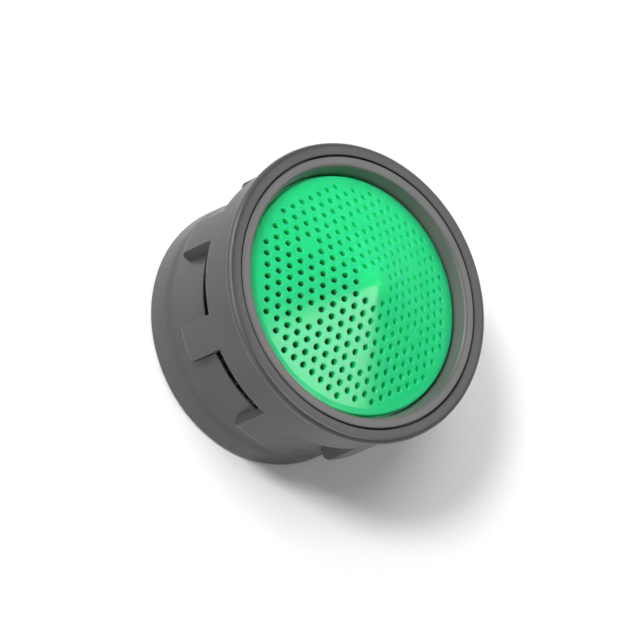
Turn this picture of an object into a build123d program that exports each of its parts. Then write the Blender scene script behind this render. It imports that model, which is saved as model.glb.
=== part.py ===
from build123d import *
import os
from math import atan2, cos, degrees, hypot, pi, radians, sin, tan

# Tap aerator insert in millimetres: a ribbed housing that holds a cup with a conical sieve at its inlet and
# two wire screens over the grid at its outlet. It stands on its outlet end with Z up through the sieve, and
# X runs through the middle of one rib.

# Housing, from the outlet end up. The collar stands out from the barrel by the height of the ribs.
barrel_diameter = 18.1
barrel_wall = 0.95
barrel_height = 6.45
outlet_edge_break = 0.3
air_slot_height = 1.55
collar_wall = 0.78
collar_height = 2.95
flange_overhang = 0.52
flange_thickness = 0.8
flange_edge_break = 0.2
seat_width = 0.4

# Ribs that carry the barrel below the collar, with air windows between them
rib_count = 8
rib_height = 0.83
rib_width = 2.45
rib_reach = 2.2
rib_end_break = 0.35

# Lead-in round the top of the barrel, which the screens are pushed in through
lead_in_land = 0.1
lead_in_depth = 1.5

# Honeycomb grid moulded inside the outlet
outlet_recess = 0.7
grid_thickness = 1.6
cell_width = 1.75
cell_wall = 0.4

# Jet cup, flush with the front of the flange
push_fit = 0.05
cup_wall = 0.58
cup_lip_thickness = 0.7
cup_lip_gap = 0.15
cup_edge_break = 0.08
cup_flare_width = 0.28
cup_flare_depth = 0.87
jet_floor_thickness = 0.8
jet_width = 1.0
jet_circle_diameter = 12.4
jet_count = 18

# Sieve: a cone with a gentler band round it, on a plain skirt that stands on the floor of the cup. The skirt is
# a push fit in the cup and steps in under the rim.
sieve_thickness = 0.6
sieve_angle = 21.3
sieve_tip_radius = 1.0
sieve_band_width = 0.55
sieve_band_angle = 12.6
sieve_skirt_height = 1.95
sieve_skirt_wall = 0.5
sieve_rim_step = 0.15
sieve_rim_height = 0.5
sieve_turn = -20.5
hole_width = 0.42
hole_pitch = 0.814
tip_land_radius = 1.1
plain_spot_steps = 6

# Wire screens pushed into the barrel on top of the grid, the upper one turned
screen_thickness = 0.4
screen_gap = 1.9
screen_wire = 0.5
screen_edge_width = 0.5
screen_turn = 45

# Radii
barrel_r = barrel_diameter / 2
barrel_bore_r = barrel_r - barrel_wall
collar_r = barrel_r + rib_height
collar_bore_r = collar_r - collar_wall
flange_r = collar_r + flange_overhang
seat_r = collar_bore_r + seat_width
cup_lip_r = seat_r - cup_lip_gap
cup_body_r = collar_bore_r - push_fit
cup_bore_r = cup_body_r - cup_wall
cup_mouth_r = cup_bore_r + cup_flare_width
sieve_skirt_r = cup_bore_r - push_fit
sieve_rim_r = sieve_skirt_r - sieve_rim_step
sieve_cone_r = sieve_rim_r - sieve_band_width
screen_r = barrel_bore_r - push_fit

# Heights
rib_bottom = barrel_height - rib_reach
collar_bottom = barrel_height + air_slot_height
flange_bottom = collar_bottom + collar_height
front = flange_bottom + flange_thickness
seat = front - cup_lip_thickness
sieve_rim_top = front - cup_flare_depth
sieve_rim_bottom = sieve_rim_top - sieve_rim_height
jet_floor_top = sieve_rim_top - sieve_skirt_height
jet_floor_bottom = jet_floor_top - jet_floor_thickness
grid_top = outlet_recess + grid_thickness


def turned(outline):
    # Solid of revolution about Z from an outline drawn as radius and height
    return revolve(Plane.XZ * outline, Axis.Z)


def outline_of(points):
    return make_face(Polyline(*points, close=True))


def triangular_lattice(pitch, reach):
    # Points of a triangular lattice centred on Z, out to a distance from it
    count = int(2 * reach / pitch) + 1
    points = []
    for across in range(-count, count + 1):
        for along in range(-count, count + 1):
            x = (along + across / 2) * pitch
            y = across * pitch * sin(pi / 3)
            if hypot(x, y) <= reach:
                points.append((x, y))
    return points


def hexagon_prism(width, bottom, top):
    outline = RegularPolygon(width / 2, 6, major_radius=False, rotation=30)
    return Pos(0, 0, bottom) * extrude(outline, top - bottom)


def make_housing():
    housing = turned(outline_of([
        (barrel_bore_r, 0),
        (barrel_r - outlet_edge_break, 0),
        (barrel_r, outlet_edge_break),
        (barrel_r, rib_bottom),
        (collar_r - rib_end_break, rib_bottom),
        (collar_r, rib_bottom + rib_end_break),
        (collar_r, flange_bottom),
        (flange_r, flange_bottom),
        (flange_r, front - flange_edge_break),
        (flange_r - flange_edge_break, front),
        (seat_r, front),
        (seat_r, seat),
        (collar_bore_r, seat),
        (collar_bore_r, barrel_height),
        (barrel_r - lead_in_land, barrel_height),
        (barrel_bore_r, barrel_height - lead_in_depth),
    ]))

    # The windows lie on the barrel and open into it above its top edge
    windows = turned(outline_of([
        (barrel_r, rib_bottom),
        (flange_r, rib_bottom),
        (flange_r, collar_bottom),
        (barrel_bore_r, collar_bottom),
        (barrel_bore_r, barrel_height),
        (barrel_r, barrel_height),
    ]))
    rib = Pos(flange_r / 2, 0, 0) * Box(flange_r, rib_width, 2 * front)
    windows -= [Rot(0, 0, step * 360 / rib_count) * rib for step in range(rib_count)]
    housing -= windows

    grid = Pos(0, 0, outlet_recess) * extrude(Circle(barrel_bore_r + barrel_wall / 2), grid_thickness)
    cell = hexagon_prism(cell_width, outlet_recess, grid_top)
    cell_corner_r = cell_width / 2 / cos(pi / 6)
    cells = triangular_lattice(cell_width + cell_wall, barrel_bore_r - cell_corner_r)
    grid -= [Pos(x, y) * cell for x, y in cells]
    return housing + grid


def make_jet_cup():
    cup = turned(outline_of([
        (0, jet_floor_bottom),
        (cup_body_r, jet_floor_bottom),
        (cup_body_r, seat),
        (cup_lip_r, seat),
        (cup_lip_r, front - cup_edge_break),
        (cup_lip_r - cup_edge_break, front),
        (cup_mouth_r, front),
        (cup_bore_r, sieve_rim_top),
        (cup_bore_r, jet_floor_top),
        (0, jet_floor_top),
    ]))
    jet = hexagon_prism(jet_width, jet_floor_bottom, jet_floor_top)
    return cup - [place * jet for place in PolarLocations(jet_circle_diameter / 2, jet_count)]


def make_sieve():
    cone_edge = sieve_rim_top + sieve_band_width * tan(radians(sieve_band_angle))
    apex = cone_edge + sieve_cone_r * tan(radians(sieve_angle))
    skirt_bore_r = sieve_rim_r - sieve_skirt_wall
    under_apex = apex - sieve_thickness
    under_edge = under_apex - skirt_bore_r * tan(radians(sieve_angle))

    # The tip is a small ball that runs tangent into the cone
    ball_centre = apex - sieve_tip_radius / cos(radians(sieve_angle))
    tip = (0, ball_centre + sieve_tip_radius)
    tip_edge = (
        sieve_tip_radius * sin(radians(sieve_angle)),
        ball_centre + sieve_tip_radius * cos(radians(sieve_angle)),
    )
    crown = RadiusArc(tip, tip_edge, sieve_tip_radius)
    rest = Polyline(
        tip_edge,
        (sieve_cone_r, cone_edge),
        (sieve_rim_r, sieve_rim_top),
        (sieve_rim_r, sieve_rim_bottom),
        (sieve_skirt_r, sieve_rim_bottom),
        (sieve_skirt_r, jet_floor_top),
        (skirt_bore_r, jet_floor_top),
        (skirt_bore_r, under_edge),
        (0, under_apex),
        tip,
    )
    sieve = turned(make_face(crown + rest))
    return sieve - sieve_holes(jet_floor_top, apex)


def sieve_holes(bottom, top):
    # Holes on a lattice run straight through the cone, with sides along radii and circles about Z. The tip and
    # one spot on each axis of the lattice stay plain.
    holes = []
    for x, y in triangular_lattice(hole_pitch, sieve_cone_r - hole_width / 2):
        distance = hypot(x, y)
        plain_spot = round(distance / hole_pitch, 3) == plain_spot_steps
        if distance < tip_land_radius or plain_spot:
            continue
        section = Pos(distance, (bottom + top) / 2) * Rectangle(hole_width, top - bottom)
        arc = degrees(hole_width / distance)
        hole = revolve(Plane.XZ * section, Axis.Z, arc)
        holes.append(Rot(0, 0, sieve_turn + degrees(atan2(y, x)) - arc / 2) * hole)
    return holes


def make_screen(bottom, turn):
    # Square gaps in a disc, with a plain pressed edge
    screen = extrude(Circle(screen_r), screen_thickness)
    pitch = screen_gap + screen_wire
    open_r = screen_r - screen_edge_width
    half = int(open_r / pitch)
    gap = Pos(0, 0, screen_thickness / 2) * Box(screen_gap, screen_gap, screen_thickness)
    gaps = []
    for column in range(-half, half + 1):
        for row in range(-half, half + 1):
            corner_x = abs(column) * pitch + screen_gap / 2
            corner_y = abs(row) * pitch + screen_gap / 2
            if hypot(corner_x, corner_y) <= open_r:
                gaps.append(Pos(column * pitch, row * pitch) * gap)
    return Pos(0, 0, bottom) * Rot(0, 0, turn) * (screen - gaps)


nodes = {
    "housing": make_housing(),
    "jet_cup": make_jet_cup(),
    "sieve": make_sieve(),
    "mesh_screen_lower": make_screen(grid_top, 0),
    "mesh_screen_upper": make_screen(grid_top + screen_thickness, screen_turn),
}

os.makedirs("parts", exist_ok=True)
for name, solid in nodes.items():
    export_step(solid, f"parts/{name}.step")
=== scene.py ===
import bpy
import bmesh
from math import asin, atan2, cos, hypot, pi, radians, sin, tan
from mathutils import Matrix, Vector
from mathutils.geometry import delaunay_2d_cdt


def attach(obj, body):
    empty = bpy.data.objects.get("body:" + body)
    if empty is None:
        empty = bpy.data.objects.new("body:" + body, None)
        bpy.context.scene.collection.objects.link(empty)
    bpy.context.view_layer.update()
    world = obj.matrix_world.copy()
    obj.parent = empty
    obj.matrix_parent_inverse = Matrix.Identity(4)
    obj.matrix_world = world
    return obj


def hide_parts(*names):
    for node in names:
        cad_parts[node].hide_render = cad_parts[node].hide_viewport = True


# Tap aerator insert, drawn in millimetres.
# Z is the flow axis, up from the outlet, and X runs through the middle of one rib.
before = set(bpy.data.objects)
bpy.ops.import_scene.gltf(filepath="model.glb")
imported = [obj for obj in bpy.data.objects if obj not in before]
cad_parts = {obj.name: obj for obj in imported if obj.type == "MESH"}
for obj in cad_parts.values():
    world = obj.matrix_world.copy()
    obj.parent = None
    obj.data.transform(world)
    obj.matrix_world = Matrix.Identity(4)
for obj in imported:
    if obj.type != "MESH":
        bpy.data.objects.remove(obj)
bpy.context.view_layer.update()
scene = bpy.context.scene
scene.view_settings.view_transform = "Standard"
mm = 0.001
print("frame loaded:", ", ".join(sorted(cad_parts)))


# Materials

def addNode(tree, kind, at, **settings):
    node = tree.nodes.new(kind)
    node.location = at
    for name, value in settings.items():
        setattr(node, name, value)
    return node


def startMaterial(name):
    material = bpy.data.materials.new(name)
    material.use_nodes = True
    tree = material.node_tree
    tree.nodes.clear()
    output = addNode(tree, "ShaderNodeOutputMaterial", (700, 0))
    surface = addNode(tree, "ShaderNodeBsdfPrincipled", (400, 0))
    tree.links.new(surface.outputs["BSDF"], output.inputs["Surface"])
    return material, tree, surface


def addNoise(tree, coords, at, size, detail):
    # noise whose features are about that many millimetres wide
    noise = addNode(tree, "ShaderNodeTexNoise", at)
    noise.inputs["Scale"].default_value = 1 / (size * mm)
    noise.inputs["Detail"].default_value = detail
    tree.links.new(coords.outputs["Object"], noise.inputs["Vector"])
    return noise


def followNoise(tree, noise, surface, look, stops=(0.0, 1.0)):
    # colour and roughness both follow one noise, from the dark colour to the light one
    tint = addNode(tree, "ShaderNodeValToRGB", (-450, 200))
    for element, stop, shade in zip(tint.color_ramp.elements, stops, ("dark", "light")):
        element.position = stop
        element.color = (*look[shade], 1)
    gloss = addNode(tree, "ShaderNodeMapRange", (-450, -100))
    for end, roughness in zip(("To Min", "To Max"), look["roughness"]):
        gloss.inputs[end].default_value = roughness
    tree.links.new(noise.outputs["Fac"], tint.inputs["Fac"])
    tree.links.new(noise.outputs["Fac"], gloss.inputs["Value"])
    tree.links.new(tint.outputs["Color"], surface.inputs["Base Color"])
    tree.links.new(gloss.outputs["Result"], surface.inputs["Roughness"])


def moulded(name, look):
    # moulded plastic: faint flow marks in the colour, uneven gloss and a fine grain
    material, tree, surface = startMaterial(name)
    coords = addNode(tree, "ShaderNodeTexCoord", (-900, 0))
    flow = addNoise(tree, coords, (-700, 200), look["flowSize"], detail=4.0)
    followNoise(tree, flow, surface, look, stops=(0.3, 0.7))
    surface.inputs["Specular IOR Level"].default_value = look["specular"]

    grain = addNoise(tree, coords, (-700, -350), look["grainSize"], detail=2.0)
    bump = addNode(tree, "ShaderNodeBump", (-200, -350))
    bump.inputs["Strength"].default_value = look["grain"]
    bump.inputs["Distance"].default_value = look["grainDepth"] * mm
    tree.links.new(grain.outputs["Fac"], bump.inputs["Height"])
    tree.links.new(bump.outputs["Normal"], surface.inputs["Normal"])

    if "soak" in look:   # light that soaks in and spreads before it comes out
        surface.inputs["Subsurface Weight"].default_value = look["soak"]
        surface.inputs["Subsurface Radius"].default_value = look["soakTint"]
        surface.inputs["Subsurface Scale"].default_value = look["soakDepth"] * mm
    return material


greyLook = {
    "dark": (0.058, 0.056, 0.057),
    "light": (0.067, 0.065, 0.066),
    "roughness": (0.30, 0.37),
    "specular": 0.45,
    "flowSize": 3.0,
    "grainSize": 0.12,
    "grain": 0.25,
    "grainDepth": 0.006,
}
housingGrey = moulded("housing_grey", greyLook)

cupLook = dict(greyLook, dark=(0.112, 0.109, 0.108), light=(0.126, 0.123, 0.122), specular=0.4)
cupGrey = moulded("cup_grey", cupLook)

greenLook = {
    "dark": (0.016, 0.72, 0.220),
    "light": (0.020, 0.77, 0.238),
    "roughness": (0.20, 0.26),
    "specular": 0.5,
    "soak": 1.0,
    "soakTint": (0.3, 1.0, 0.5),
    "soakDepth": 2.0,
    "flowSize": 2.5,
    "grainSize": 0.3,
    "grain": 0.08,
    "grainDepth": 0.006,
}
sieveGreen = moulded("sieve_green", greenLook)


def wireSteel(name, look):
    # drawn stainless wire
    material, tree, surface = startMaterial(name)
    coords = addNode(tree, "ShaderNodeTexCoord", (-900, 0))
    marks = addNoise(tree, coords, (-700, 100), look["drawSize"], detail=5.0)
    followNoise(tree, marks, surface, look)
    surface.inputs["Metallic"].default_value = 1.0
    return material


steelLook = {
    "dark": (0.28, 0.28, 0.27),
    "light": (0.38, 0.38, 0.37),
    "roughness": (0.42, 0.52),
    "drawSize": 0.4,
}
screenSteel = wireSteel("screen_steel", steelLook)
print("materials made")


# Shared mesh helpers

mouthEasing = ((0.3, 0.3), (0.0, 1.0))   # rounding at the mouth of a hole: shares of it outward and inward


def makePiece(name, points, faces):
    mesh = bpy.data.meshes.new(name)
    mesh.from_pydata([Vector(point) * mm for point in points], [], faces)
    mesh.validate()
    piece = bpy.data.objects.new(name, mesh)
    scene.collection.objects.link(piece)
    return piece


def closeUp(piece):
    # one outward side all over
    shape = bmesh.new()
    shape.from_mesh(piece.data)
    bmesh.ops.recalc_face_normals(shape, faces=shape.faces)
    shape.to_mesh(piece.data)
    shape.free()


def crispCorners(piece, limit=35):
    # steep inside corners keep a hard edge, roundings stay smooth
    shape = bmesh.new()
    shape.from_mesh(piece.data)
    for edge in shape.edges:
        edge.smooth = len(edge.link_faces) != 2 or edge.calc_face_angle() < radians(limit)
    shape.to_mesh(piece.data)
    shape.free()


def dress(piece, node, material, weighted=True):
    piece.data.materials.append(material)
    piece.data.shade_smooth()
    if weighted:
        crispCorners(piece)
        normals = piece.modifiers.new("flatten", "WEIGHTED_NORMAL")
        normals.weight = 100
        normals.keep_sharp = True
    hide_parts(node)
    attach(piece, "root")
    print(piece.name, len(piece.data.vertices), "points,", len(piece.data.polygons), "faces")


def rounded(corners, steps=5):
    # outline of (radius, height, rounding) corners, with each rounded corner as a short arc
    outline = []
    for index, (r, z, rounding) in enumerate(corners):
        here = Vector((r, z))
        if rounding == 0 or index in (0, len(corners) - 1):
            outline.append((r, z))
            continue
        before = (Vector(corners[index - 1][:2]) - here).normalized()
        after = (Vector(corners[index + 1][:2]) - here).normalized()
        opening = before.angle(after)
        reach = rounding / tan(opening / 2)
        centre = here + (before + after).normalized() * (rounding / sin(opening / 2))
        first = here + before * reach - centre
        turn = first.angle_signed(here + after * reach - centre)
        for step in range(steps + 1):
            spoke = Matrix.Rotation(-turn * step / steps, 2) @ first
            outline.append(tuple(centre + spoke))
    return outline


def ring(x, y, radius, count):
    angles = [2 * pi * step / count for step in range(count)]
    return [(x + radius * cos(angle), y + radius * sin(angle)) for angle in angles]


def lattice(pitch, reach):
    # places on a triangular lattice, out to a distance from the axis
    count = int(2 * reach / pitch) + 1
    places = []
    for across in range(-count, count + 1):
        for along in range(-count, count + 1):
            x = (along + across / 2) * pitch
            y = across * pitch * sin(pi / 3)
            if hypot(x, y) <= reach:
                places.append((x, y))
    return places


def addLevel(points, outlines, z):
    # points of some outlines at one height, and where they stand in the list
    start = len(points)
    for outline in outlines:
        points += [(x, y, z) for x, y in outline]
    return range(start, len(points))


def joinRows(faces, rows, sides):
    # walls from each row to the next, where a row holds one or more closed outlines
    for first, second in zip(rows, rows[1:]):
        for base in range(0, len(first), sides):
            for step in range(sides):
                here, there = base + step, base + (step + 1) % sides
                faces.append((first[here], first[there], second[there], second[here]))


def pierced(border, holes, extra=(), loops=()):
    # flat triangles inside a border, round holes that are left open: points and faces
    points = []
    edges = []
    owner = []
    for number, outline in enumerate([border, *loops, *holes]):
        base = len(points)
        points += outline
        owner += [number] * len(outline)
        edges += [(base + step, base + (step + 1) % len(outline)) for step in range(len(outline))]
    points += extra
    owner += [-1] * len(extra)
    firstHole = 1 + len(loops)
    tolerance = 1e-5
    result = delaunay_2d_cdt([Vector(point) for point in points], edges, [], 0, tolerance)
    triangles, source = result[2:4]   # source gives the points that each corner came from
    kept = []
    for triangle in triangles:
        corners = [source[index][0] for index in triangle]
        holders = {owner[corner] for corner in corners}
        if len(holders) > 1 or min(holders) < firstHole:
            kept.append(corners)
    return points, kept


def addPlate(points, faces, edges, heights, outlinesAt, rounding, extra=()):
    # pierced plate that closes a wall between two of its edges, with holes rounded at both mouths
    holes = outlinesAt(rounding)
    sides = len(holes[0])
    rows = []
    for edge, z, inward in zip(edges, heights, (1, -1)):
        flat, triangles = pierced([points[index][:2] for index in edge], holes, extra)
        level = [*edge, *addLevel(points, [flat[len(edge):]], z)]
        faces += [[level[index] for index in triangle] for triangle in triangles]
        mouth = [level[len(edge):len(edge) + sides * len(holes)]]
        for grow, drop in mouthEasing:
            mouth.append(addLevel(points, outlinesAt(grow * rounding), z + inward * drop * rounding))
        rows += mouth[::inward]
    joinRows(faces, rows, sides)


# Housing

housingSize = {
    "footRadius": 9.05,
    "footTop": (1.95, 2.60),
    "footBlend": 1.5,
    "barrelRadius": 8.96,
    "boreRadius": 8.10,
    "boreRounding": 0.12,
    "barrelTop": 6.32,
    "leadInRadius": 8.86,
    "leadInBottom": 4.95,
    "outletRounding": 0.30,
    "collarRadius": 9.88,
    "collarBore": 9.10,
    "collarBottom": 8.00,
    "flangeRadius": 10.40,
    "flangeBottom": 10.95,
    "front": 11.75,
    "flangeFillet": 0.20,
    "flangeRearRounding": 0.34,
    "flangeRounding": 0.36,
    "seatRadius": 9.50,
    "seat": 11.05,
    "seatRounding": 0.08,
    "ledgeRounding": 0.06,
    "ribs": 8,
    "ribHalf": 1.225,
    "ribFlatHalf": 0.84,
    "ribBottom": 4.25,
    "ribEnd": 0.35,
    "ribEndRounding": (0.15, 0.60),
    "ribRounding": 0.22,
    "ribEdgeAngle": 40,
    "gridBottom": 0.70,
    "gridTop": 2.30,
    "cellWidth": 1.75,
    "cellWall": 0.40,
    "cellRounding": 0.05,
    "cellCornerShare": 0.965,
    "cellCornerTurn": 6,
    "ribSteps": 8,
    "windowSteps": 28,
}


def housingPaths(size):
    # (radius, height) paths through a rib and through a window, and the outline of a rib's side
    barrel, bore, top = size["barrelRadius"], size["boreRadius"], size["barrelTop"]
    collar, collarBore, collarBottom = size["collarRadius"], size["collarBore"], size["collarBottom"]
    ribBottom = size["ribBottom"]
    foot = rounded([
        (bore, size["gridBottom"], 0),
        (bore, 0, size["boreRounding"]),
        (size["footRadius"], 0, size["outletRounding"]),
        (size["footRadius"], size["footTop"][0], size["footBlend"]),
        (barrel, size["footTop"][1], size["footBlend"]),
        (barrel, ribBottom, 0),
    ])
    ribEnd = rounded([
        (barrel, ribBottom, 0),
        (collar - size["ribEnd"], ribBottom, size["ribEndRounding"][0]),
        (collar, ribBottom + size["ribEnd"], size["ribEndRounding"][1]),
        (collar, collarBottom, 0),
    ])[1:-1]
    head = rounded([
        (collar, collarBottom, 0),
        (collar, size["flangeBottom"], size["flangeFillet"]),
        (size["flangeRadius"], size["flangeBottom"], size["flangeRearRounding"]),
        (size["flangeRadius"], size["front"], size["flangeRounding"]),
        (size["seatRadius"], size["front"], size["seatRounding"]),
        (size["seatRadius"], size["seat"], 0),
        (collarBore, size["seat"], size["ledgeRounding"]),
        (collarBore, collarBottom, 0),
    ])
    toGrid = [
        (barrel, top),
        (size["leadInRadius"], top),
        (bore, size["leadInBottom"]),
        (bore, size["gridTop"]),
    ]
    ribPath = foot + ribEnd + head + [(collarBore, top)] + toGrid
    windowPaths = [foot + toGrid, head + [(collar, collarBottom)]]
    ribSide = [(barrel, ribBottom)] + ribEnd + [
        (collar, collarBottom), (collarBore, collarBottom), (collarBore, top), (barrel, top),
    ]
    return ribPath, windowPaths, ribSide


def cellOutline(x, y, width, size):
    # hexagon with three points round each blunted corner
    corner = width / 2 / cos(pi / 6)
    outline = []
    for step in range(6):
        for turn in (-size["cellCornerTurn"], 0, size["cellCornerTurn"]):
            angle = radians(30 + 60 * step + turn)
            flatSide = width / 2 / cos(radians(30 - abs(turn)))
            reach = min(corner * size["cellCornerShare"], flatSide)
            outline.append((x + reach * cos(angle), y + reach * sin(angle)))
    return outline


def roundRibs(piece, size):
    # round the outer edge that runs along the collar and down both sides of every rib
    inside = size["barrelRadius"] + size["ribRounding"]
    slack = 0.001
    shape = bmesh.new()
    shape.from_mesh(piece.data)
    edges = []
    for edge in shape.edges:
        outside = all(corner.co.xy.length / mm > inside for corner in edge.verts)
        heights = [corner.co.z / mm for corner in edge.verts]
        within = min(heights) > size["ribBottom"] - slack and max(heights) < size["collarBottom"] + slack
        if outside and within and edge.is_convex and edge.calc_face_angle() > radians(size["ribEdgeAngle"]):
            edges.append(edge)
    bmesh.ops.bevel(
        shape, geom=edges, offset=size["ribRounding"] * mm, segments=4, profile=0.5, affect="EDGES",
        clamp_overlap=True,
    )
    shape.to_mesh(piece.data)
    shape.free()


def makeHousing(size):
    bay = 2 * pi / size["ribs"]
    ribSteps = size["ribSteps"]
    perBay = ribSteps + size["windowSteps"]
    columns = perBay * size["ribs"]
    points = []
    faces = []
    known = {}

    def columnAngle(column, radius):
        # columns follow the straight sides of the ribs and share out the window between them
        rib, step = divmod(column, perBay)
        edge = asin(size["ribHalf"] / radius)
        if step in (0, ribSteps):
            angle = edge if step else -edge
        elif step < ribSteps:
            angle = asin(size["ribFlatHalf"] * (2 * (step - 1) / (ribSteps - 2) - 1) / radius)
        else:
            angle = edge + (bay - 2 * edge) * (step - ribSteps) / size["windowSteps"]
        return rib * bay + angle

    def spot(column, radius, height):
        key = (column % columns, round(radius, 5), round(height, 5))
        if key not in known:
            angle = columnAngle(column % columns, radius)
            known[key] = len(points)
            points.append((radius * cos(angle), radius * sin(angle), height))
        return known[key]

    ribPath, windowPaths, ribSide = housingPaths(size)
    for column in range(columns):
        paths = [ribPath] if column % perBay < ribSteps else windowPaths
        for path in paths:
            for low, high in zip(path, path[1:]):
                corners = ((column, low), (column + 1, low), (column + 1, high), (column, high))
                faces.append([spot(side, *place) for side, place in corners])
        if column % perBay in (0, ribSteps):
            faces.append([spot(column, *place) for place in ribSide])

    # honeycomb outlet grid between the two open edges of the bore
    bore, cellWidth = size["boreRadius"], size["cellWidth"]
    cells = lattice(cellWidth + size["cellWall"], bore - cellWidth / 2 / cos(pi / 6))

    def cellOutlines(grow):
        return [cellOutline(x, y, cellWidth + 2 * grow, size) for x, y in cells]

    heights = (size["gridBottom"], size["gridTop"])
    edges = [[spot(column, bore, z) for column in range(columns)] for z in heights]
    addPlate(points, faces, edges, heights, cellOutlines, size["cellRounding"])

    piece = makePiece("ribbedHousing", points, faces)
    closeUp(piece)
    roundRibs(piece, size)
    return piece


dress(makeHousing(housingSize), "housing", housingGrey)


# Jet cup

cupSize = {
    "bodyRadius": 9.05,
    "lipRadius": 9.39,
    "lipRounding": 0.10,
    "lipUnderRounding": 0.05,
    "front": 11.75,
    "seat": 11.05,
    "mouthRadius": 8.75,
    "mouthRounding": 0.25,
    "boreRadius": 8.47,
    "boreRounding": 0.20,
    "rimTop": 10.88,
    "floorTop": 8.93,
    "floorBottom": 8.13,
    "floorRings": ((4.60, 60), (7.60, 120)),
    "jets": 18,
    "jetRadius": 0.50,
    "jetCircle": 6.20,
    "jetRounding": 0.12,
    "jetSides": 28,
    "columns": 240,
}


def makeCup(size):
    path = rounded([
        (size["bodyRadius"], size["floorBottom"], 0),
        (size["bodyRadius"], size["seat"], 0),
        (size["lipRadius"], size["seat"], size["lipUnderRounding"]),
        (size["lipRadius"], size["front"], size["lipRounding"]),
        (size["mouthRadius"], size["front"], size["mouthRounding"]),
        (size["boreRadius"], size["rimTop"], size["boreRounding"]),
        (size["boreRadius"], size["floorTop"], 0),
    ])
    points = []
    faces = []
    rows = [addLevel(points, [ring(0, 0, r, size["columns"])], z) for r, z in path]
    joinRows(faces, rows, size["columns"])

    # floor with its jets, and rings of points that keep its triangles even
    jets = ring(0, 0, size["jetCircle"], size["jets"])

    def jetOutlines(grow):
        return [ring(x, y, size["jetRadius"] + grow, size["jetSides"]) for x, y in jets]

    extra = [(0, 0)]
    for radius, count in size["floorRings"]:
        extra += ring(0, 0, radius, count)
    heights = (size["floorBottom"], size["floorTop"])
    addPlate(points, faces, (rows[0], rows[-1]), heights, jetOutlines, size["jetRounding"], extra)
    piece = makePiece("jetCup", points, faces)
    closeUp(piece)
    return piece


dress(makeCup(cupSize), "jet_cup", cupGrey)


# Sieve

sieveSize = {
    "rimRadius": 8.27,
    "rimTop": 10.88,
    "rimBottom": 10.38,
    "rimInset": 0.14,
    "rimRounding": 0.12,
    "coneRadius": 7.72,
    "bend": (0.05, 0.11, 0.20),
    "bandAngle": 12.6,
    "coneAngle": 21.3,
    "tipRadius": 1.0,
    "tipRings": (0.12, 0.24, 0.55, 0.80),
    "tipSides": 24,
    "thickness": 0.6,
    "skirtRadius": 8.42,
    "skirtBottom": 8.93,
    "skirtBore": 7.77,
    "stepRounding": 0.05,
    "footRounding": 0.06,
    "turn": -20.5,
    "holePitch": 0.814,
    "holeRadius": 0.195,
    "holeRounding": 0.055,
    "holeLean": 14.6,
    "holeSides": 22,
    "edgeLand": 0.21,
    "tipLand": 1.1,
    "plainSteps": 6,
    "plainRadius": 0.22,
    "plainSides": 10,
    "columns": 240,
}


def sieveHoles(size):
    # places of the holes on a turned lattice, and the spots that stay plain
    holes = []
    plain = []
    turn = Matrix.Rotation(radians(size["turn"]), 2)
    for x, y in lattice(size["holePitch"], size["coneRadius"] - size["edgeLand"]):
        place = tuple(turn @ Vector((x, y)))
        if round(hypot(x, y) / size["holePitch"], 3) == size["plainSteps"]:
            plain.append(place)
        elif hypot(x, y) > size["tipLand"]:
            holes.append(place)
    return holes, plain


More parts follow.
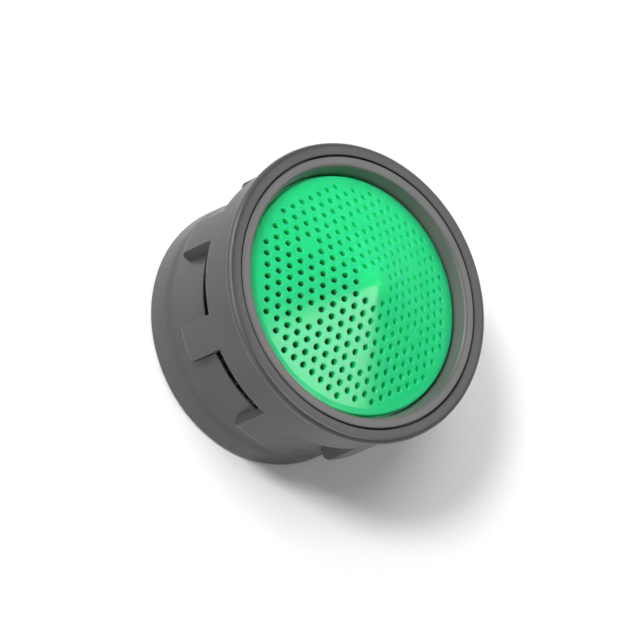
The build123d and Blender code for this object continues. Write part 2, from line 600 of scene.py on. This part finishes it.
def makeSieve(size):
    coneAngle, bandAngle = radians(size["coneAngle"]), radians(size["bandAngle"])
    coneRadius, rimRadius = size["coneRadius"], size["rimRadius"]
    slope = tan(coneAngle)
    apex = size["rimTop"] + (rimRadius - coneRadius) * tan(bandAngle) + coneRadius * slope
    ballCentre = apex - size["tipRadius"] / cos(coneAngle)
    tipEdge = size["tipRadius"] * sin(coneAngle)

    def heightAt(r):
        if r < tipEdge:
            return ballCentre + (size["tipRadius"] ** 2 - r * r) ** 0.5
        if r < coneRadius:
            return apex - r * slope
        return size["rimTop"] + (rimRadius - r) * tan(bandAngle)

    def tiltAt(r):
        # outward tilt of the surface, run smoothly over the bend between cone and band
        if r < tipEdge:
            return asin(r / size["tipRadius"])
        first, last = size["bend"][0], size["bend"][-1]
        blend = (r - coneRadius - first) / (last - first)
        return coneAngle + (bandAngle - coneAngle) * min(max(blend, 0), 1)

    holes, plain = sieveHoles(size)
    columns, sides = size["columns"], size["holeSides"]
    thickness, rounding = size["thickness"], size["holeRounding"]

    def holeOutlines(depth, grow):
        # outlines of the holes at a depth below the surface, as they lean out with the cone
        lean = tan(radians(size["holeLean"]))
        inward = depth * lean / (1 + lean * slope)
        outlines = []
        for x, y in holes:
            share = 1 - inward / hypot(x, y)
            outlines.append(ring(x * share, y * share, size["holeRadius"] + grow, sides))
        return outlines

    # top, with the tilt of the true surface at each of its points
    extra = [(0.0, 0.0)]
    for r in sorted([*size["tipRings"], tipEdge]):
        extra += ring(0, 0, r, size["tipSides"])
    for x, y in plain:
        extra += [(x, y)] + ring(x, y, size["plainRadius"], size["plainSides"])
    rim = rimRadius - size["rimInset"]
    bends = [ring(0, 0, coneRadius + shift, columns) for shift in size["bend"]]   # from cone to band
    flat, faces = pierced(ring(0, 0, rim, columns), holeOutlines(0, rounding), extra, bends)
    points = []
    facing = []
    for x, y in flat:
        tilt = tiltAt(hypot(x, y))
        facing.append(Vector((x, y, 0)).normalized() * sin(tilt) + Vector((0, 0, cos(tilt))))
        points.append((x, y, heightAt(hypot(x, y))))

    # underside, with the inner mouths of the holes
    bore = size["skirtBore"]
    base = len(points)
    flat, triangles = pierced(ring(0, 0, bore, columns), holeOutlines(thickness, rounding), extra)
    points += [(x, y, apex - thickness - hypot(x, y) * slope) for x, y in flat]
    faces += [[base + index for index in triangle] for triangle in triangles]

    # hole walls, eased at both mouths
    mouthPoints = len(holes) * sides
    topMouth = columns * (1 + len(bends))
    lowMouth = base + columns
    levels = [range(topMouth, topMouth + mouthPoints)]
    steps = [(grow * rounding, drop * rounding) for grow, drop in mouthEasing]
    for grow, depth in steps + [(0, thickness - rounding)]:
        start = len(points)
        for outline in holeOutlines(depth, grow):
            points += [(x, y, heightAt(hypot(x, y)) - depth) for x, y in outline]
        levels.append(range(start, len(points)))
    levels.append(range(lowMouth, lowMouth + mouthPoints))
    joinRows(faces, levels, sides)

    # rounded rim, skirt and its foot
    path = rounded([
        (rim, heightAt(rim), 0),
        (rimRadius, size["rimTop"], size["rimRounding"]),
        (rimRadius, size["rimBottom"], size["stepRounding"]),
        (size["skirtRadius"], size["rimBottom"], size["stepRounding"]),
        (size["skirtRadius"], size["skirtBottom"], size["footRounding"]),
        (bore, size["skirtBottom"], size["footRounding"]),
        (bore, apex - thickness - bore * slope, 0),
    ])
    rows = [addLevel(points, [ring(0, 0, r, columns)], z) for r, z in path[1:-1]]
    joinRows(faces, [range(columns), *rows, range(base, base + columns)], columns)

    piece = makePiece("conicalSieve", points, faces)
    closeUp(piece)
    piece.data.shade_smooth()
    normals = [Vector((0, 0, 0))] * len(piece.data.loops)   # zero leaves a corner to Blender
    for loop in piece.data.loops:
        if loop.vertex_index < len(facing):
            normals[loop.index] = facing[loop.vertex_index]
    piece.data.normals_split_custom_set(normals)
    print("sieve holes:", len(holes))
    return piece


dress(makeSieve(sieveSize), "sieve", sieveGreen, weighted=False)


# Woven screens

screenSize = {
    "radius": 8.05,
    "thickness": 0.40,
    "edge": 0.50,
    "edgeRounding": 0.12,
    "wire": 0.19,
    "wireGap": 0.005,
    "pitch": 0.80,
    "levels": {"mesh_screen_lower": (2.30, 0.0), "mesh_screen_upper": (2.70, 45.0)},
    "sides": 6,
    "cutsPerGap": 6,
    "columns": 180,
}


def weave(points, faces, size, middle, turn):
    # wires both ways, each over one and under the next
    wireRadius = size["wire"] / 2
    swing = size["thickness"] / 2 - wireRadius - size["wireGap"]
    reach = size["radius"] - size["edge"] / 2
    pitch, sides = size["pitch"], size["sides"]
    count = int(reach / pitch)
    spin = Matrix.Rotation(radians(turn), 2)
    for way in (0, 1):
        for line in range(-count, count + 1):
            offset = line * pitch
            half = (reach * reach - offset * offset) ** 0.5
            cuts = int(2 * half / pitch * size["cutsPerGap"])
            rows = []
            for cut in range(cuts + 1):
                along = -half + 2 * half * cut / cuts
                phase = pi * along / pitch + (line + way) * pi
                lift = swing * cos(phase)
                climb = atan2(-swing * pi / pitch * sin(phase), 1)
                start = len(points)
                for across, up in ring(0, 0, wireRadius, sides):
                    u = along - up * sin(climb)
                    v = offset + across
                    x, y = spin @ Vector((u, v) if way == 0 else (v, u))
                    points.append((x, y, middle + lift + up * cos(climb)))
                rows.append(range(start, len(points)))
            joinRows(faces, rows, sides)
            faces += [list(rows[0]), list(rows[-1])]


def makeScreen(name, size, bottom, turn):
    points = []
    faces = []
    middle = bottom + size["thickness"] / 2
    weave(points, faces, size, middle, turn)

    # pressed edging that holds the wire ends
    outer, inner, top = size["radius"], size["radius"] - size["edge"], bottom + size["thickness"]
    rounding = size["edgeRounding"]
    path = rounded([
        (outer, middle, 0), (outer, top, rounding), (inner, top, rounding),
        (inner, bottom, rounding), (outer, bottom, rounding), (outer, middle, 0),
    ])[:-1]
    rows = [addLevel(points, [ring(0, 0, r, size["columns"])], z) for r, z in path]
    joinRows(faces, rows + rows[:1], size["columns"])
    piece = makePiece(name, points, faces)
    closeUp(piece)
    return piece


for node, (bottom, turn) in screenSize["levels"].items():
    name = "wovenScreen" + node.rsplit("_", 1)[1].capitalize()
    dress(makeScreen(name, screenSize, bottom, turn), node, screenSteel, weighted=False)


# Camera, at the photograph's angle

cameraSetup = {
    "turn": -8.8,
    "tilt": 38.41,
    "roll": 24.05,
    "target": (0, 0, 11.75),
    "shiftRight": 2.637,
    "shiftDown": -1.887,
    "distance": 538.5,
    "lens": 453.8,
}


def photoAxes(a, b, c):
    # a down the picture's flange, b across it and c out of the front, turned to the model's axes
    turn = radians(cameraSetup["turn"])
    return Vector((a * cos(turn) + b * sin(turn), -a * sin(turn) + b * cos(turn), c))


def makeCamera(setup):
    tilt, roll = radians(setup["tilt"]), radians(setup["roll"])
    right = photoAxes(sin(roll), cos(tilt) * cos(roll), sin(tilt) * cos(roll))
    down = photoAxes(cos(roll), -cos(tilt) * sin(roll), -sin(tilt) * sin(roll))
    ahead = photoAxes(0, sin(tilt), -cos(tilt))
    place = Vector(setup["target"])
    place -= right * setup["shiftRight"] + down * setup["shiftDown"] + ahead * setup["distance"]
    camera = bpy.data.objects.new("camera", bpy.data.cameras.new("camera"))
    camera.data.lens = setup["lens"]
    camera.data.sensor_width = 36.0
    camera.data.clip_start = 0.01
    camera.data.clip_end = 20.0
    turned = Matrix((right, -down, -ahead)).transposed().to_4x4()
    camera.matrix_world = Matrix.Translation(place * mm) @ turned
    scene.collection.objects.link(camera)
    scene.camera = camera


makeCamera(cameraSetup)
print("camera set")


# Floor

floorSetup = {
    "half": 3000.0,
    "level": -0.02,   # just clear of the outlet end
    "colour": (0.94, 0.94, 0.94),
    "glow": 0.05,
}


def makeFloor(setup):
    half, z = setup["half"], setup["level"]
    corners = [(-half, -half, z), (half, -half, z), (half, half, z), (-half, half, z)]
    piece = makePiece("floor", corners, [(0, 1, 2, 3)])
    material, tree, surface = startMaterial("floor_white")
    surface.inputs["Base Color"].default_value = (*setup["colour"], 1)
    surface.inputs["Roughness"].default_value = 0.9
    surface.inputs["Specular IOR Level"].default_value = 0.1

    # a little white added for the picture and for reflections, so that the paper looks white
    seen = addNode(tree, "ShaderNodeLightPath", (0, -300))
    inGloss = addNode(tree, "ShaderNodeMath", (200, -300), operation="MAXIMUM")
    inGlass = addNode(tree, "ShaderNodeMath", (400, -300), operation="MAXIMUM")
    lift = addNode(tree, "ShaderNodeMath", (600, -300), operation="MULTIPLY")
    lift.inputs[1].default_value = setup["glow"]
    surface.inputs["Emission Color"].default_value = (1, 1, 1, 1)
    tree.links.new(seen.outputs["Is Camera Ray"], inGloss.inputs[0])
    tree.links.new(seen.outputs["Is Glossy Ray"], inGloss.inputs[1])
    tree.links.new(inGloss.outputs["Value"], inGlass.inputs[0])
    tree.links.new(seen.outputs["Is Transmission Ray"], inGlass.inputs[1])
    tree.links.new(inGlass.outputs["Value"], lift.inputs[0])
    tree.links.new(lift.outputs["Value"], surface.inputs["Emission Strength"])
    piece.data.materials.append(material)
    return piece


# Lights and world

lightSetup = {
    "suns": {
        "key": {"from": (-0.44, -0.65, 0.62), "strength": 2.15, "angle": 14.0, "reach": "part"},
        "shade": {"from": (-0.437, -0.535, 0.723), "strength": 2.05, "angle": 12.0, "reach": "floor"},
        "glow": {"from": (0.0, 0.0, 1.0), "strength": 0.55, "angle": 150.0, "reach": "floor"},
        "top": {"from": (-0.32, -0.19, 0.93), "strength": 0.9, "angle": 24.0, "reach": "all"},
        "fill": {"from": (0.05, 0.84, 0.54), "strength": 2.2, "angle": 40.0, "reach": "part"},
        "back": {"from": (-0.90, -0.25, 0.36), "strength": 0.7, "angle": 30.0, "reach": "all"},
    },
    "shining": ("back",),   # the one sun that leaves a highlight, since the cards give the rest
    "cards": {
        "softbox": {
            "from": (0.376, 0.034, 0.926),
            "along": (0.6565, 0.5515, -0.2865),
            "distance": 400.0,
            "size": (362.0, 165.0),
            "radiance": 5.0,
        },
        "side": {
            "from": (-0.62, -0.66, 0.42),
            "along": (0.73, -0.68, 0.0),
            "distance": 300.0,
            "size": (440.0, 170.0),
            "radiance": 4.4,
        },
        "front": {
            "from": (0.0, 0.62, 0.785),
            "along": (1.0, 0.0, 0.0),
            "distance": 400.0,
            "size": (200.0, 200.0),
            "radiance": 1.8,
        },
    },
    "ambient": 0.12,
}


def addLamp(name, kind):
    lamp = bpy.data.objects.new(name, bpy.data.lights.new(name, kind))
    scene.collection.objects.link(lamp)
    return lamp


def aim(lamp, direction, distance=500.0, along=(1, 0, 0)):
    # the lamp looks back at the front of the part, its own X as near as can be to the long side asked for
    back = photoAxes(*direction).normalized()
    up = back.cross(photoAxes(*along)).normalized()
    turned = Matrix((up.cross(back), up, back)).transposed().to_4x4()
    place = Vector(cameraSetup["target"]) + back * distance
    lamp.matrix_world = Matrix.Translation(place * mm) @ turned


def limitReach(lamp, reach, floor):
    # a lamp for the floor lights nothing else, and a lamp for the part leaves the floor alone
    reached = bpy.data.collections.new(lamp.name + "_reach")
    reached.objects.link(floor)
    reached.collection_objects[0].light_linking.link_state = "INCLUDE" if reach == "floor" else "EXCLUDE"
    lamp.light_linking.receiver_collection = reached


def makeLights(setup, floor):
    for name, sun in setup["suns"].items():
        lamp = addLamp(name, "SUN")
        lamp.data.energy = sun["strength"]
        lamp.data.angle = radians(sun["angle"])
        lamp.visible_glossy = name in setup["shining"]
        if sun["reach"] != "all":
            limitReach(lamp, sun["reach"], floor)
        aim(lamp, sun["from"])

    for name, card in setup["cards"].items():
        lamp = addLamp(name, "AREA")
        lamp.data.shape = "RECTANGLE"
        lamp.data.size = card["size"][0] * mm
        lamp.data.size_y = card["size"][1] * mm
        lamp.data.energy = card["radiance"] * pi * lamp.data.size * lamp.data.size_y
        lamp.visible_diffuse = False   # a card shows only as a reflection
        aim(lamp, card["from"], card["distance"], card["along"])

    world = bpy.data.worlds.new("studio")
    scene.world = world
    world.use_nodes = True
    background = world.node_tree.nodes["Background"]
    background.inputs["Color"].default_value = (1, 1, 1, 1)
    background.inputs["Strength"].default_value = setup["ambient"]


makeLights(lightSetup, makeFloor(floorSetup))
print("floor and lights set")
